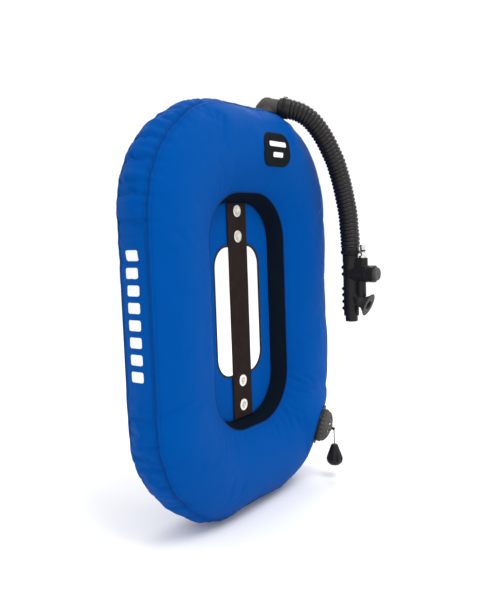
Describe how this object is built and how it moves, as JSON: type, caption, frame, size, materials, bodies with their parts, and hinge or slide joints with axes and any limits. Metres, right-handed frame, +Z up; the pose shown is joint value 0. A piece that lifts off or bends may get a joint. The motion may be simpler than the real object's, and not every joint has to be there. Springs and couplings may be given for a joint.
{
  "type": "buoyancy compensator wing",
  "caption": "Ring-shaped inflated diving wing with a recessed centre panel, webbing strap with eyelets, corrugated hose, power inflator and pull dump valve.",
  "frame": {"origin": "middle of the main pair of tank-bolt eyelets, in the plane of the centre panel", "axes": "+X to the right seen from the strap side, -Y out of the strap side, +Z up"},
  "size_m": [0.4807, 0.2242, 0.6781],
  "materials": {
    "shell_blue": "coated woven nylon",
    "wall_navy": "dark woven nylon",
    "binding_black": "folded binding tape",
    "bladder_film": "smooth film",
    "webbing_black": "woven webbing",
    "eyelet_steel": "satin",
    "patch_black": "moulded",
    "print_white": "printed",
    "zip_black": "woven tape",
    "plastic_black": "moulded",
    "plastic_grey": "moulded",
    "rubber_black": "satin",
    "rubber_grey": "satin",
    "tie_black": "moulded nylon",
    "nipple_steel": "turned",
    "cord_black": "braided"
  },
  "bodies": {
    "root": {"front_panel": "shell_blue", "rear_panel": "shell_blue", "outer_band": "shell_blue", "inner_wall_front": "wall_navy", "inner_wall_rear": "wall_navy", "center_panel": "shell_blue", "slot_binding": "binding_black", "bladder_front": "bladder_film", "bladder_rear": "bladder_film", "center_strap": "webbing_black", "strap_eyelets": "eyelet_steel", "eyelet_washers": "eyelet_steel", "patch": "patch_black", "patch_marks": "print_white", "side_marks": "print_white", "zip_tapes": "zip_black", "zip_teeth": "zip_black", "elbow_flange": "plastic_black", "elbow_gasket": "rubber_black", "elbow_ring": "plastic_black", "elbow_body": "plastic_grey", "hose_upper_cuff": "rubber_black", "upper_tie": "tie_black", "valve_base": "plastic_black", "valve_gasket": "rubber_black", "valve_cap": "plastic_grey", "valve_spring": "nipple_steel"},
    "inflator": {"hose": "rubber_black", "hose_lower_cuff": "rubber_black", "lower_tie": "tie_black", "inflator_body": "plastic_black", "mouthpiece": "rubber_grey", "nipple": "nipple_steel", "nipple_oring": "rubber_black", "inflate_bezel": "plastic_black", "inflate_spring": "nipple_steel", "deflate_spring": "nipple_steel"},
    "inflate_button": {"inflate_button": "plastic_grey", "inflate_stem": "nipple_steel", "inflate_seal": "rubber_black"},
    "deflate_button": {"deflate_button": "plastic_black", "deflate_stem": "nipple_steel", "deflate_seal": "rubber_black"},
    "dump_poppet": {"valve_poppet": "plastic_black"},
    "dump_knob": {"pull_cord": "cord_black", "pull_knob": "plastic_black"},
    "zip_slider": {"zip_slider": "eyelet_steel"},
    "zip_pull": {"zip_pull": "plastic_black"}
  },
  "joints": [
    {"name": "hose_flex", "type": "hinge", "parent": "root", "child": "inflator", "pos_m": [0.12397, -0.03456, 0.31116], "axis": [-0.7071, -0.7071, 0], "range_deg": [-4, 60], "stiffness_Nm_per_rad": 2, "springref_deg": 9.74, "deforming": ["hose"]},
    {"name": "inflate_press", "type": "slide", "parent": "inflator", "child": "inflate_button", "axis": [0, 1, 0], "range_m": [0, 0.004], "stiffness_N_per_m": 800, "springref_m": -0.002, "deforming": ["inflate_spring"]},
    {"name": "deflate_press", "type": "slide", "parent": "inflator", "child": "deflate_button", "axis": [0, 0, 1], "range_m": [0, 0.004], "stiffness_N_per_m": 600, "springref_m": -0.002, "deforming": ["deflate_spring"]},
    {"name": "dump_pull", "type": "slide", "parent": "root", "child": "dump_poppet", "axis": [0.356, -0.8896, -0.2862], "range_m": [0, 0.006], "stiffness_N_per_m": 700, "springref_m": -0.003, "deforming": ["valve_spring"]},
    {"name": "knob_swing", "type": "hinge", "parent": "dump_poppet", "child": "dump_knob", "pos_m": [0.17752, -0.0757, -0.25808], "axis": [-0.926, -0.3775, 0], "range_deg": [-15, 60]},
    {"name": "zip_slide", "type": "slide", "parent": "root", "child": "zip_slider", "axis": [0, 0, 1], "range_m": [0, 0.2]},
    {"name": "zip_pull_swing", "type": "hinge", "parent": "zip_slider", "child": "zip_pull", "pos_m": [-0.169, 0.0625, -0.1235], "axis": [1, 0, 0], "range_deg": [0, 150]}
  ]
}
